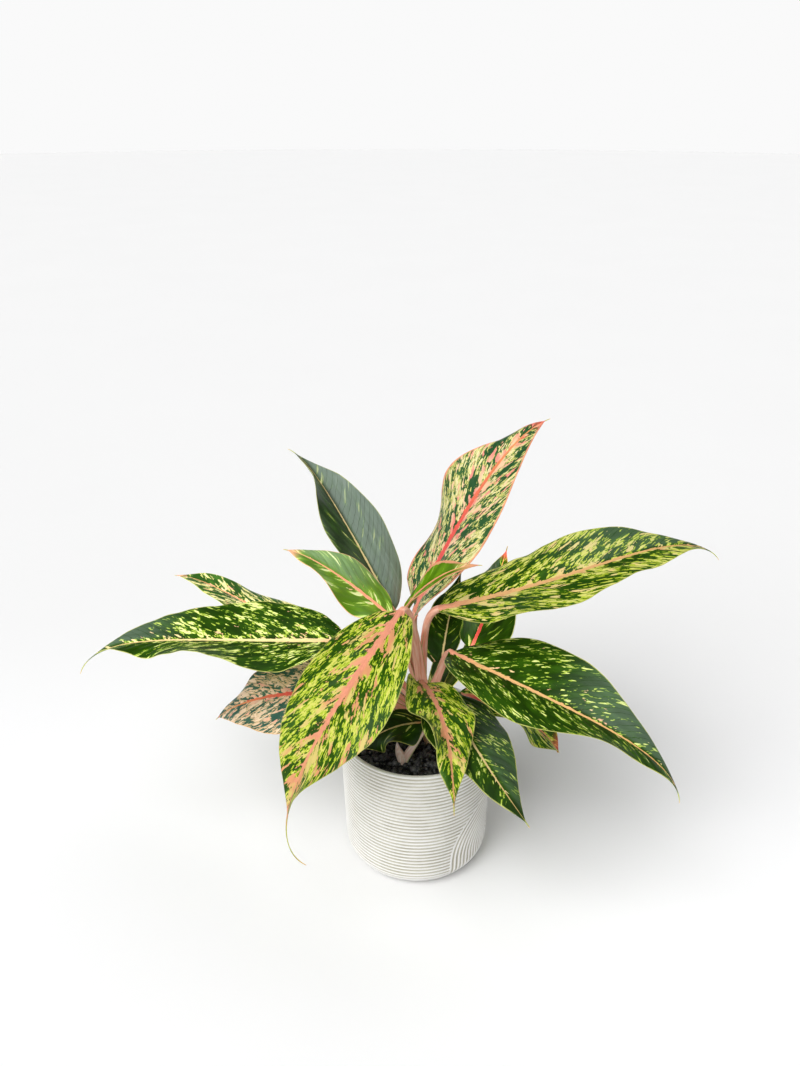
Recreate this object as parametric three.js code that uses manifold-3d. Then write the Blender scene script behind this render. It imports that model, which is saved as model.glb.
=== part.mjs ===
// A chinese evergreen in a round ribbed pot.
// Millimetres and degrees, +Z up. The origin is the centre of the flat spot under the pot, and -Y is the front.
import * as THREE from 'three';
import { mergeVertices } from 'three/addons/utils/BufferGeometryUtils.js';
import Module from 'manifold-3d';

const wasm = await Module();
wasm.setup();

// ---------------------------------------------------------------- driving dimensions

const POT = {
  rimRadius: 65,
  height: 124,
  taper: 0.0265, // loss of radius for each mm of drop
  baseRound: 18,
  wall: 3.5,
  floor: 5,
  innerRound: 10,
  lip: 1.2, // size of the bevels along the rim
  ribPitch: 3.54,
  ribDepth: 1,
  segments: 32,
};

const SOIL = {
  level: 112,
  grain: 1.2, // height of the relief
  grainPitch: 13, // length of its waves
  rings: 9,
  segments: 28,
};

const CANE = {
  foot: [11, -6], // where its axis passes the soil's level
  top: [5, -3, 166],
  buried: 26,
  bottomRadius: 6,
  topRadius: 5,
  segments: 14,
};

const SHOOT = {
  foot: [-11, -33, 115], // where its stalk starts, just above the soil
  buried: 14,
  radius: 4,
  sheathTip: [-16, -31, 131],
  sheathRadius: 1.2,
  segments: 10,
};

const GAP = 0.3; // between pieces that touch
const STALK_RADIUS = 3.4; // at the foot
const STALK_TOP_RADIUS = 2.8; // where the blade starts
const STALK_OFFSET = 7; // from the cane's axis to the foot of a stalk
const STALK_STEPS = 20;
const STALK_SPARSE = 8; // steps between two cross-sections where the stalk is nearly straight
const STALK_BEND = 0.8; // share of the stalk after which it turns into the blade's direction
const BLADE_STEPS = 16;
const BLADE_EDGE = 0.4; // half the thickness of the blade
const RIB_FADE = 2; // how fast the midrib thins out towards the tip
const TIP_HALF_WIDTH = 0.5;
const TAIL_HALF_WIDTH = 1.5; // added at the base of the blade and gone at its tip
const BASE_POWER = 0.72; // how fast the outline widens from the base
const CROSS_CURL = 0.1; // how far the margins bend down, as a share of the half width
const WAVE_FADE = 0.5; // share of the full half width below which the margin's waves fade
const ACROSS = [1, 0.55, 0.1, 0, -0.1, -0.55, -1]; // from the left margin to the right one

// The leaves, from the innermost stalk to the outermost.
// footZ: height of the stalk's foot on the cane; stalk: direction, length, rise at both ends, and
// where its bend starts, if not at the usual share;
// blade: direction, length, half width, turn to the side, rise at the base, arch and droop of the tip;
// roll: about the midrib, at the base and its change; fold: lift of the two halves;
// taper: power of the outline towards the tip; tail: share of the length in the drip tip;
// left, right: height, number and phase of the margin's waves.
const LEAVES = [
  {
    name: 'leaf_rolled',
    finish: 'young',
    footZ: 167,
    stalk: { azimuth: 162, length: 71, rise: [80, 62] },
    blade: { azimuth: -16, length: 83, halfWidth: 11, turn: -1, rise: 64, arch: -44, droop: -15 },
    roll: [15, 12],
    fold: 26,
    taper: 1.2,
    tail: 0.04,
    left: [-4, 1.3, -0.05],
    right: [-0.5, 2.4, 0.1],
  },
  {
    name: 'leaf_young_left',
    finish: 'young',
    footZ: 157,
    stalk: { azimuth: 160, length: 73, rise: [80, 71] },
    blade: { azimuth: 170, length: 104, halfWidth: 26, turn: 5, rise: 43, arch: -14, droop: -23 },
    roll: [-8, -2],
    fold: 11,
    taper: 1.1,
    tail: 0.04,
    left: [4.5, 1.5, 0.25],
    right: [1.5, 1.9, 0.2],
  },
  {
    name: 'leaf_tall_left',
    finish: 'dark',
    footZ: 153,
    stalk: { azimuth: 126, length: 75, rise: [71, 45] },
    blade: { azimuth: 128, length: 188, halfWidth: 34.5, turn: 2, rise: 41, arch: -8, droop: -38 },
    roll: [8, 14],
    fold: 25,
    taper: 1.2,
    tail: 0.08,
    left: [5.5, 1.7, 0],
    right: [5, 1, 0.6],
  },
  {
    name: 'leaf_right',
    finish: 'yellow',
    footZ: 152,
    stalk: { azimuth: 12, length: 95, rise: [89, 102] },
    blade: { azimuth: -6, length: 232, halfWidth: 43.5, turn: 22, rise: 17, arch: 6, droop: -78 },
    roll: [4, 1],
    fold: 14,
    taper: 1.2,
    tail: 0.06,
    left: [6, 1.5, 0.35],
    right: [2.5, 3.4, 0.25],
  },
  {
    name: 'leaf_low_right',
    finish: 'dark',
    footZ: 152,
    stalk: { azimuth: -20, length: 60, rise: [75, 91] },
    blade: { azimuth: -40, length: 215, halfWidth: 46, turn: 23, rise: 1, arch: -23, droop: -62 },
    roll: [4, -5],
    fold: 19,
    taper: 1.4,
    tail: 0.05,
    left: [5.5, 0.9, 0.8],
    right: [5, 2.1, -0.05],
  },
  {
    name: 'leaf_tall_right',
    finish: 'pink',
    footZ: 151,
    stalk: { azimuth: 103, length: 75, rise: [63, 24] },
    blade: { azimuth: 20, length: 203, halfWidth: 43, turn: 6, rise: 67, arch: -18, droop: -38 },
    roll: [-14, 30],
    fold: 11,
    taper: 1,
    tail: 0.03,
    left: [8.5, 2, 0.05],
    right: [5.5, 0.9, 0.4],
  },
  {
    name: 'leaf_front_left',
    finish: 'yellow',
    footZ: 152,
    stalk: { azimuth: 212, length: 110, rise: [83, 89] },
    blade: { azimuth: -122, length: 237, halfWidth: 44, turn: -37, rise: -20, arch: -65, droop: -50 },
    roll: [0, 5],
    fold: 13,
    taper: 1.1,
    tail: 0.25,
    left: [10, 1.6, 0.15],
    right: [6, 1.4, 0.45],
  },
  {
    name: 'leaf_front',
    finish: 'yellow',
    footZ: 148,
    stalk: { azimuth: -102, length: 54, rise: [70, 58] },
    blade: { azimuth: -71, length: 136, halfWidth: 24.5, turn: -19, rise: 18, arch: -45, droop: -10 },
    roll: [-15, -12],
    fold: 18,
    taper: 1.3,
    tail: 0.05,
    left: [2.5, 2.9, 0],
    right: [7, 2.1, 0],
  },
  {
    name: 'leaf_back_dark',
    finish: 'dark',
    footZ: 143,
    stalk: { azimuth: 63, length: 37, rise: [64, 37] },
    blade: { azimuth: 82, length: 95, halfWidth: 13, turn: -10, rise: 32, arch: -6, droop: -1 },
    roll: [-1, -5],
    fold: 12,
    taper: 1.4,
    tail: 0.04,
    left: [3, 2, 0],
    right: [0, 2, -0.05],
  },
  {
    name: 'leaf_front_right',
    finish: 'dark',
    footZ: 142,
    stalk: { azimuth: -50, length: 45, rise: [68, 58] },
    blade: { azimuth: -83, length: 151, halfWidth: 29.5, turn: 25, rise: 10, arch: -22, droop: -5 },
    roll: [-6, 0],
    fold: 6,
    taper: 1.2,
    tail: 0.03,
    left: [1.5, 2, 0.05],
    right: [2.5, 2, 0],
  },
  {
    name: 'leaf_left',
    finish: 'dark',
    footZ: 139,
    stalk: { azimuth: 173, length: 93, rise: [71, 33] },
    blade: { azimuth: 184, length: 240, halfWidth: 46, turn: -12, rise: 2, arch: -6, droop: -66 },
    roll: [-9, 16],
    fold: 20,
    taper: 1.4,
    tail: 0.08,
    left: [7, 2.3, 0.2],
    right: [4, 1, 0.5],
  },
  {
    name: 'leaf_back_upright',
    finish: 'dark',
    footZ: 138,
    stalk: { azimuth: 38, length: 62, rise: [61, 33] },
    blade: { azimuth: 35, length: 94, halfWidth: 31.5, turn: 2, rise: 63, arch: 12, droop: -1 },
    roll: [1, 3],
    fold: 4,
    taper: 1.3,
    tail: 0.05,
    left: [-4, 1.9, -0.1],
    right: [-0.5, 2.1, 0.05],
  },
  {
    name: 'leaf_under_right',
    finish: 'yellow',
    footZ: 130,
    stalk: { azimuth: 27, length: 32, rise: [60, 28] },
    blade: { azimuth: 16, length: 127, halfWidth: 28, turn: -3, rise: -19, arch: -41, droop: -2 },
    roll: [3, 22],
    fold: 16,
    taper: 0.8,
    tail: 0.02,
    left: [-3.5, 2, 0],
    right: [-5, 1.9, 0.1],
  },
  {
    name: 'leaf_back_left',
    finish: 'yellow',
    footZ: 129,
    stalk: { azimuth: 151, length: 76, rise: [56, 0] },
    blade: { azimuth: 163, length: 187, halfWidth: 35, turn: -9, rise: 23, arch: -7, droop: -30 },
    roll: [16, -4],
    fold: 12,
    taper: 1.1,
    tail: 0.02,
    left: [0.5, 2, 0],
    right: [-4, 1.8, 0.2],
  },
  {
    name: 'leaf_low_left',
    finish: 'pink',
    footZ: 126,
    stalk: { azimuth: 188, length: 61, rise: [63, 18] },
    blade: { azimuth: 169, length: 156, halfWidth: 36, turn: -10, rise: -1, arch: -39, droop: -11 },
    roll: [-19, -13],
    fold: 5,
    taper: 1.1,
    tail: 0.03,
    left: [3, 2.3, 0.55],
    right: [4, 3, 0.25],
  },
  {
    name: 'shoot',
    finish: 'dark',
    foot: SHOOT.foot,
    stalk: { azimuth: 10, length: 66, rise: [22, 47], bend: 0.4 },
    blade: { azimuth: -174, length: 64, halfWidth: 16.5, turn: -9, rise: 5, arch: -67, droop: -3 },
    roll: [-13, -7],
    fold: 1,
    taper: 1.2,
    tail: 0.02,
    left: [-8.5, 1.8, 0],
    right: [-1, 2.1, 0.1],
  },
];

// ---------------------------------------------------------------- materials

const material = (color, roughness) => new THREE.MeshStandardMaterial({ color, roughness, metalness: 0 });

const FINISH = {
  pot: material(0xe9e5da, 0.45),
  soil: material(0x1c1917, 0.95),
  stem: material(0xdba88a, 0.5),
  dark: material(0x2f4a1e, 0.4),
  yellow: material(0xa8b045, 0.45),
  pink: material(0xd9b08c, 0.45),
  young: material(0x6f9a2a, 0.4),
};

// ---------------------------------------------------------------- solids

function toSolid(geometry) {
  const bare = geometry.clone();
  bare.deleteAttribute('normal');
  bare.deleteAttribute('uv');
  const merged = mergeVertices(bare);
  const vertProperties = new Float32Array(merged.attributes.position.array);
  const triVerts = new Uint32Array(merged.index.array);
  return new wasm.Manifold(new wasm.Mesh({ numProp: 3, vertProperties, triVerts }));
}

function largestBody(solid) {
  const bodies = solid.decompose();
  return bodies.reduce((best, body) => (body.volume() > best.volume() ? body : best));
}

function toGeometry(solid) {
  const mesh = solid.getMesh();
  const geometry = new THREE.BufferGeometry();
  geometry.setAttribute('position', new THREE.BufferAttribute(new Float32Array(mesh.vertProperties), 3));
  geometry.setIndex(new THREE.BufferAttribute(new Uint32Array(mesh.triVerts), 1));
  geometry.computeVertexNormals();
  return geometry;
}

function named(name, geometry, finish) {
  const mesh = new THREE.Mesh(geometry, finish);
  mesh.name = name;
  return mesh;
}

// A cylinder or cone from one point to another.
function rod(from, to, fromRadius, toRadius, segments) {
  const axis = new THREE.Vector3().subVectors(to, from);
  const geometry = new THREE.CylinderGeometry(toRadius, fromRadius, axis.length(), segments);
  const turn = new THREE.Quaternion().setFromUnitVectors(new THREE.Vector3(0, 1, 0), axis.clone().normalize());
  geometry.applyQuaternion(turn);
  geometry.translate((from.x + to.x) / 2, (from.y + to.y) / 2, (from.z + to.z) / 2);
  return geometry;
}

function lathe(points, segments) {
  const profile = points.map(([r, z]) => new THREE.Vector2(r, z));
  const geometry = new THREE.LatheGeometry(profile, segments);
  geometry.rotateX(Math.PI / 2);
  return geometry;
}

// ---------------------------------------------------------------- pot

const potRadius = (z) => POT.rimRadius - POT.taper * (POT.height - z);

// A point of the pot's outside at a distance along it, down from the rim, pushed in by depth.
function potOutside(distance, depth) {
  const straight = POT.height - POT.lip - POT.baseRound;
  if (distance <= straight) {
    const z = POT.height - POT.lip - distance;
    return [potRadius(z) - depth, z];
  }
  const turn = Math.min((distance - straight) / POT.baseRound, Math.PI / 2);
  const reach = POT.baseRound - depth;
  const centre = potRadius(POT.baseRound) - POT.baseRound;
  return [centre + reach * Math.cos(turn), POT.baseRound - reach * Math.sin(turn)];
}

function makePot() {
  const outside = POT.height - POT.lip - POT.baseRound + (POT.baseRound * Math.PI) / 2;
  const ribs = Math.floor(outside / POT.ribPitch) - 1;
  const points = [[0, 0]];
  const flat = potOutside(outside, 0);
  points.push([flat[0], 0]);
  for (let rib = ribs; rib >= 1; rib -= 1) {
    points.push(potOutside((rib + 0.5) * POT.ribPitch, POT.ribDepth));
    points.push(potOutside(rib * POT.ribPitch, 0));
  }
  points.push(potOutside(POT.ribPitch / 2, POT.ribDepth));
  points.push(potOutside(0, 0));
  const inner = (z) => potRadius(z) - POT.wall;
  points.push([potRadius(POT.height) - POT.lip, POT.height]);
  points.push([inner(POT.height) + POT.lip, POT.height]);
  points.push([inner(POT.height - POT.lip), POT.height - POT.lip]);
  points.push([inner(POT.floor + POT.innerRound), POT.floor + POT.innerRound]);
  points.push([inner(POT.floor) - POT.innerRound, POT.floor]);
  points.push([0, POT.floor]);
  return lathe(points, POT.segments);
}

// ---------------------------------------------------------------- soil

// Height of the loose soil above its level: two crossed waves.
function grain(x, y) {
  const wave = (2 * Math.PI) / SOIL.grainPitch;
  const square = Math.sin(wave * x) * Math.cos(wave * y);
  const slanted = Math.sin(wave * (x + y)) * Math.cos(wave * (x - 2 * y));
  return (SOIL.grain * (square + slanted)) / 2;
}

function makeSoil() {
  const inner = (z) => potRadius(z) - POT.wall - GAP;
  const bottom = POT.floor + GAP;
  const radii = [inner(bottom) - POT.innerRound, inner(bottom + POT.innerRound), inner(SOIL.level)];
  const points = [
    [0, bottom],
    [radii[0], bottom],
    [radii[1], bottom + POT.innerRound],
    [radii[2], SOIL.level],
  ];
  for (let ring = SOIL.rings - 1; ring >= 0; ring -= 1) {
    points.push([(radii[2] * ring) / SOIL.rings, SOIL.level]);
  }
  const geometry = lathe(points, SOIL.segments);
  const position = geometry.attributes.position;
  const rim = radii[2] - GAP;
  for (let i = 0; i < position.count; i += 1) {
    const x = position.getX(i);
    const y = position.getY(i);
    const onTop = position.getZ(i) > SOIL.level - GAP;
    if (onTop && Math.hypot(x, y) < rim) {
      position.setZ(i, SOIL.level + grain(x, y));
    }
  }
  return toSolid(geometry);
}

// ---------------------------------------------------------------- cane

const caneTop = new THREE.Vector3(...CANE.top);

// The cane's axis at a height.
function caneAt(z) {
  const k = (z - SOIL.level) / (caneTop.z - SOIL.level);
  return new THREE.Vector3(
    CANE.foot[0] + (caneTop.x - CANE.foot[0]) * k,
    CANE.foot[1] + (caneTop.y - CANE.foot[1]) * k,
    z,
  );
}

function makeCane(grown) {
  const bottom = caneAt(SOIL.level - CANE.buried - grown);
  const top = grown > 0 ? caneAt(caneTop.z + grown) : caneTop;
  return rod(bottom, top, CANE.bottomRadius + grown, CANE.topRadius + grown, CANE.segments);
}

// ---------------------------------------------------------------- leaves

const radians = THREE.MathUtils.degToRad;
const smooth = (k) => THREE.MathUtils.smoothstep(k, 0, 1);

function direction(azimuth, rise) {
  const a = radians(azimuth);
  const p = radians(rise);
  return new THREE.Vector3(Math.cos(p) * Math.cos(a), Math.cos(p) * Math.sin(a), Math.sin(p));
}

const bladeAzimuth = (blade, s) => blade.azimuth + blade.turn * s;
const bladeRise = (blade, s) => blade.rise + blade.arch * s + blade.droop * s ** 6;
const bladeDirection = (blade, s) => direction(bladeAzimuth(blade, s), bladeRise(blade, s));

const bendOf = (leaf) => leaf.stalk.bend ?? STALK_BEND;

function stalkDirection(leaf, u) {
  const { azimuth, rise } = leaf.stalk;
  const along = direction(azimuth, rise[0] + (rise[1] - rise[0]) * u);
  const bend = smooth((u - bendOf(leaf)) / (1 - bendOf(leaf)));
  return along.lerp(bladeDirection(leaf.blade, 0), bend).normalize();
}

// The vector to the left of the midrib, and the one out of the upper face.
function bladeFrame(leaf, s) {
  const a = radians(bladeAzimuth(leaf.blade, s));
  const left = new THREE.Vector3(-Math.sin(a), Math.cos(a), 0);
  const along = bladeDirection(leaf.blade, s);
  const roll = radians(leaf.roll[0] + leaf.roll[1] * s);
  left.applyAxisAngle(along, roll);
  return { left, up: new THREE.Vector3().crossVectors(along, left) };
}

// Half width of the blade without its drip tip, 0 to 1.
function outline(leaf, s) {
  const widest = BASE_POWER / (BASE_POWER + leaf.taper);
  const k = Math.min(s / (1 - leaf.tail), 1);
  return (k / widest) ** BASE_POWER * ((1 - k) / (1 - widest)) ** leaf.taper;
}

function footOf(leaf) {
  if (leaf.foot) {
    return new THREE.Vector3(...leaf.foot);
  }
  const foot = caneAt(leaf.footZ);
  if (leaf.footZ > caneTop.z) {
    return foot;
  }
  const a = radians(leaf.stalk.azimuth);
  return foot.add(new THREE.Vector3(Math.cos(a), Math.sin(a), 0).multiplyScalar(STALK_OFFSET));
}

// Cross-sections of the stalk: centre, left, half width and rib radius.
function stalkSections(leaf) {
  const sections = [];
  const centre = footOf(leaf);
  const reference = bladeFrame(leaf, 0).left;
  const step = leaf.stalk.length / STALK_STEPS;
  for (let i = 0; i <= STALK_STEPS; i += 1) {
    const u = i / STALK_STEPS;
    const along = stalkDirection(leaf, u);
    const left = reference.clone().addScaledVector(along, -reference.dot(along)).normalize();
    const radius = THREE.MathUtils.lerp(STALK_RADIUS, STALK_TOP_RADIUS, u);
    if (i % STALK_SPARSE === 0 || u > bendOf(leaf)) {
      sections.push({ centre: centre.clone(), left, up: along.clone().cross(left), width: radius, rib: radius });
    }
    centre.addScaledVector(stalkDirection(leaf, (i + 0.5) / STALK_STEPS), step);
  }
  return sections;
}

function bladeSections(leaf, start) {
  const { blade } = leaf;
  const sections = [];
  const centre = start.clone();
  const step = blade.length / BLADE_STEPS;
  for (let i = 1; i <= BLADE_STEPS; i += 1) {
    centre.addScaledVector(bladeDirection(blade, (i - 0.5) / BLADE_STEPS), step);
    const s = i / BLADE_STEPS;
    const share = outline(leaf, s);
    const width = blade.halfWidth * share + TIP_HALF_WIDTH + TAIL_HALF_WIDTH * (1 - s);
    const rib = BLADE_EDGE + (STALK_TOP_RADIUS - BLADE_EDGE) * (1 - s) ** RIB_FADE;
    const waveHeight = Math.min(1, share / WAVE_FADE);
    sections.push({ centre: centre.clone(), ...bladeFrame(leaf, s), width, rib, s, waveHeight, isBlade: true });
  }
  return sections;
}

// A point of the leaf's middle surface, t from 1 at the left margin to -1 at the right one.
function middlePoint(leaf, section, t) {
  const { centre, left, up, width, s } = section;
  const across = Math.abs(t) * width;
  if (!section.isBlade) {
    return centre.clone().addScaledVector(left, Math.sign(t) * across);
  }
  const fold = radians(leaf.fold);
  const [height, count, phase] = t > 0 ? leaf.left : leaf.right;
  const wave = height * Math.sin(2 * Math.PI * (count * s + phase)) * section.waveHeight;
  const lift = across * Math.sin(fold) + (wave - CROSS_CURL * width) * t * t;
  return centre
    .clone()
    .addScaledVector(left, Math.sign(t) * across * Math.cos(fold))
    .addScaledVector(up, lift);
}

function halfThickness(section, t) {
  const inRib = Math.min(1, (Math.abs(t) * section.width) / section.rib);
  return BLADE_EDGE + (section.rib - BLADE_EDGE) * Math.sqrt(1 - inRib * inRib);
}

// The closed skin between two faces, each a grid of points [section][column], split alike on both.
function skin(upper, lower) {
  const rows = upper.length;
  const columns = upper[0].length;
  const points = [...upper.flat(), ...lower.flat()];
  const up = (i, j) => i * columns + j;
  const down = (i, j) => rows * columns + i * columns + j;
  const index = [];
  const quad = (a, b, c, d) => index.push(a, b, c, a, c, d);
  for (let i = 0; i < rows - 1; i += 1) {
    for (let j = 0; j < columns - 1; j += 1) {
      quad(up(i, j), up(i, j + 1), up(i + 1, j + 1), up(i + 1, j));
      index.push(down(i, j), down(i + 1, j + 1), down(i, j + 1));
      index.push(down(i, j), down(i + 1, j), down(i + 1, j + 1));
    }
    const last = columns - 1;
    quad(up(i, 0), up(i + 1, 0), down(i + 1, 0), down(i, 0));
    quad(down(i, last), down(i + 1, last), up(i + 1, last), up(i, last));
  }
  for (let j = 0; j < columns - 1; j += 1) {
    quad(down(0, j), down(0, j + 1), up(0, j + 1), up(0, j));
    quad(up(rows - 1, j), up(rows - 1, j + 1), down(rows - 1, j + 1), down(rows - 1, j));
  }
  const geometry = new THREE.BufferGeometry();
  geometry.setFromPoints(points);
  geometry.setIndex(index);
  return geometry;
}

// The solid of a leaf or of its stalk alone, from its cross-sections.
function leafSolid(leaf, sections, grown) {
  const middle = sections.map((section) => ACROSS.map((t) => middlePoint(leaf, section, t)));
  const face = (side) =>
    middle.map((row, i) =>
      row.map((point, j) => {
        const before = middle[Math.max(i - 1, 0)][j];
        const after = middle[Math.min(i + 1, middle.length - 1)][j];
        const along = after.clone().sub(before);
        const across = row[Math.max(j - 1, 0)].clone().sub(row[Math.min(j + 1, row.length - 1)]);
        const normal = along.cross(across).normalize();
        return point.clone().addScaledVector(normal, side * (halfThickness(sections[i], ACROSS[j]) + grown));
      }),
    );
  return toSolid(skin(face(1), face(-1)));
}

// The stalk made thicker all round and longer at its foot, to clear the stalks outside it.
function stalkCutter(leaf) {
  const sections = stalkSections(leaf);
  sections.forEach((section) => {
    section.width += GAP;
  });
  const back = sections[0].centre.clone().sub(sections[1].centre).setLength(2 * STALK_RADIUS);
  sections[0].centre.add(back);
  return leafSolid(leaf, sections, GAP);
}

function makeLeaf(leaf) {
  const stalk = stalkSections(leaf);
  const blade = bladeSections(leaf, stalk[stalk.length - 1].centre);
  return leafSolid(leaf, [...stalk, ...blade], 0);
}

// ---------------------------------------------------------------- shoot

const shootAt = (z) => new THREE.Vector3(SHOOT.foot[0], SHOOT.foot[1], z);

// The stub in the soil and the free tip of the sheath, which are one with the leaf that grows from them.
function makeShootBase() {
  const stub = rod(
    shootAt(SOIL.level - SHOOT.buried),
    shootAt(SHOOT.foot[2]),
    SHOOT.radius,
    SHOOT.radius,
    SHOOT.segments,
  );
  const sheath = rod(
    shootAt(SOIL.level),
    new THREE.Vector3(...SHOOT.sheathTip),
    SHOOT.radius - GAP,
    SHOOT.sheathRadius,
    SHOOT.segments,
  );
  return toSolid(stub).add(toSolid(sheath));
}

// ---------------------------------------------------------------- assembly

function makePlant() {
  const plant = new THREE.Group();
  plant.add(named('pot', makePot(), FINISH.pot));

  const shootHole = rod(
    shootAt(SOIL.level - SHOOT.buried - GAP),
    shootAt(SOIL.level + SHOOT.radius * 2),
    SHOOT.radius + GAP,
    SHOOT.radius + GAP,
    SHOOT.segments,
  );
  const soil = makeSoil().subtract(toSolid(makeCane(GAP))).subtract(toSolid(shootHole));
  plant.add(named('soil', toGeometry(soil), FINISH.soil));
  plant.add(named('cane', makeCane(0), FINISH.stem));

  let taken = toSolid(makeCane(GAP));
  LEAVES.forEach((leaf) => {
    let solid = makeLeaf(leaf);
    if (leaf.foot) {
      solid = solid.add(makeShootBase());
    }
    solid = largestBody(solid.subtract(taken));
    plant.add(named(leaf.name, toGeometry(solid), FINISH[leaf.finish]));
    taken = taken.add(stalkCutter(leaf));
  });
  return plant;
}

export default makePlant();
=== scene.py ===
# A chinese evergreen in a round ribbed pot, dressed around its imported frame.
# Metres and degrees, +Z up, the origin under the pot, -Y to the front. An azimuth of 0 points to +X, and of
# -90 to the front.
from statistics import NormalDist

import bmesh
import bpy
import numpy as np
from mathutils import Matrix, Vector


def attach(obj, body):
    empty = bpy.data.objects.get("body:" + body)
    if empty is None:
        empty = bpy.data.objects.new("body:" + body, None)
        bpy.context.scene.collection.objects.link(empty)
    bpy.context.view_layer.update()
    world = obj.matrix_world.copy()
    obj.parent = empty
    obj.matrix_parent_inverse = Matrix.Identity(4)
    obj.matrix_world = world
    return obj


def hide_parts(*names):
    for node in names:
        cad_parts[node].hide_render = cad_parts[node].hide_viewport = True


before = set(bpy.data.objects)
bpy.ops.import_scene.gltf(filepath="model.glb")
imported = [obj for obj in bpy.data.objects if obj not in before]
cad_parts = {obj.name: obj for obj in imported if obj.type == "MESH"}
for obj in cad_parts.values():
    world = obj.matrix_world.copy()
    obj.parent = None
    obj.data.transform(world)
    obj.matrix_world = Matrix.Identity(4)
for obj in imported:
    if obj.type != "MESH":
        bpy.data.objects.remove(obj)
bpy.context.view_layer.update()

MM = 0.001
TURN = 2 * np.pi
SEED = 7

# ---- driving dimensions

RIM_RADIUS = 0.065
POT_HEIGHT = 0.124
POT_TAPER = 0.0265  # loss of radius for each metre of drop
BASE_ROUND = 0.018
POT_WALL = 0.0035
POT_FLOOR = 0.005
INNER_ROUND = 0.010
POT_LIP = 0.0012
RIB_PITCH = 0.00354
RIB_DEPTH = 0.0009
RIB_ROWS = 7  # rows of the mesh over one rib
GROOVE_SIDE = (0.18, 0.64)  # of a plain wave's height, the parts that a rib's top and its side take
POT_PLAIN = 2.2  # how many pitches before the end of the outside the ribs start to fade

ARC_AZIMUTH = -17.4  # middle of the group of arched ribs
ARC_DROP = 0.0982  # its centre, below the rim
ARC_RADIUS = 0.0508
ARC_PITCH = 0.0042
ARC_PHASE = 0.25  # its first rib lies this share of a pitch inside that radius
ARC_COLUMN = 0.00055  # width of the mesh's columns over the arched ribs
PLAIN_COLUMN = 0.0029  # and over the level ones

SOIL_LEVEL = 0.112
SOIL_GAP = 0.0003
SOIL_RELIEF = 0.0011
SOIL_WAVES = 0.45  # how close its bumps are, in radians to a mm
SOIL_COLUMNS = 120
SOIL_ROWS = 44
GRANULES = 1400
GRANULE_RADIUS = (0.0014, 0.0028)
GRANULE_AXES = (0.7, 1.15)  # how far they are squashed or stretched
GRANULE_LUMPS = 0.22  # depth of their lumps, as a share of the radius
GRANULE_RISE = (-0.4, 1.6)  # of their centres above the soil, in mm

CANE_FOOT = (0.011, -0.006)  # where its axis passes the soil's level
CANE_TOP = (0.005, -0.003, 0.166)
CANE_BURIED = 0.026
CANE_RADII = (0.006, 0.005)

SHOOT_FOOT = (-0.011, -0.033, 0.115)
SHOOT_BURIED = 0.014
SHOOT_RADIUS = 0.004
SHEATH_TIP = (-0.016, -0.031, 0.131)
SHEATH_BOW = (-0.0012, 0, 0)  # how far its middle is bent aside
SHEATH_EDGE = 0.0004  # radius at its tip
SHEATH_TAPER = 1.4  # power of its outline towards the tip

STALK_RADIUS = 0.0036  # at the foot
STALK_TOP_RADIUS = 0.003  # where the blade starts
STALK_OFFSET = 0.007  # from the cane's axis to the foot of a packed stalk
STALK_BEND = 0.8  # share of that stalk after which it turns into the blade's direction
DRAWN_OFFSET = 0.001  # from the cane's axis to the foot of a drawn stalk
LEAVE_UP = 0.25  # how far it leaves above the straight line to the blade, as a share of that line
ARRIVE = 0.55  # length of its bend at the blade, as a share of the same line
STALK_STEPS = 48
WING = 0.0022  # width of the two thin edges of a stalk, at its foot
WING_LIFT = 0.003  # how far they bend up around the next stalk
WING_TO = 0.95  # share of the stalk where they end
SKIRT_FROM = 0.1  # share of the stalk where a skirt starts,
SKIRT_FULL = 0.9  # where it has its full width,
SKIRT_TO = 0.15  # and share of the blade where it ends
BLADE_STEPS = 168
RIB_COLUMNS = 6
SIDE_COLUMNS = 17
BLADE_EDGE = 0.0003  # half the thickness of the blade
RIM_EDGE = 0.0001  # and at its very margin
RIB_EDGE = 0.0004
RIB_FADE = 2  # how fast the midrib thins out towards the tip
TIP_HALF_WIDTH = 0.0005
TAIL_HALF_WIDTH = 0.0015  # added at the base of the blade and gone at its tip
BASE_POWER = 0.72  # how fast the outline widens from the base
CROSS_CURL = 0.1  # how far the margins bend down, as a share of the half width
WAVE_FADE = 0.5  # share of the full half width below which the margin's waves fade
FOLD_ROUND = 0.0015  # radius of the crease along the midrib

VEIN_PITCH = 0.0125  # between two side veins, along the midrib
VEIN_LEAN = (0.95, 0.5)  # how far a side vein runs forward, at the midrib and added towards the margin
VEIN_DEPTH = 0.0003
QUILT = 0.0004  # height of the blade's swell between two side veins
RIPPLE = 0.001  # height of the small waves along the margin
RIPPLE_LENGTH = 0.021
SCALLOP = 0.0008  # depth of the small scallops of the margin
SCALLOP_LENGTH = 0.013
FOLD_FADE = 0.03  # share of the blade over which its fold sets in
BROAD_FADE = 0.1  # and over which a half drawn wider than its solid sets in
VEIN_HALF_WIDTH = 1.1 * MM
VEIN_FADE = (7 * MM, 9 * MM)  # from the midrib and the margin, over which the veins and swells set in

STEM_COLUMNS = 28
CANE_ROWS = 90
SCAR_PITCH = 0.008  # between two leaf scars on the cane
SCAR_PHASE = 0.93  # where in each pitch a scar lies
SCAR_SWELL = 0.0004  # how much thicker the cane is there

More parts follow.
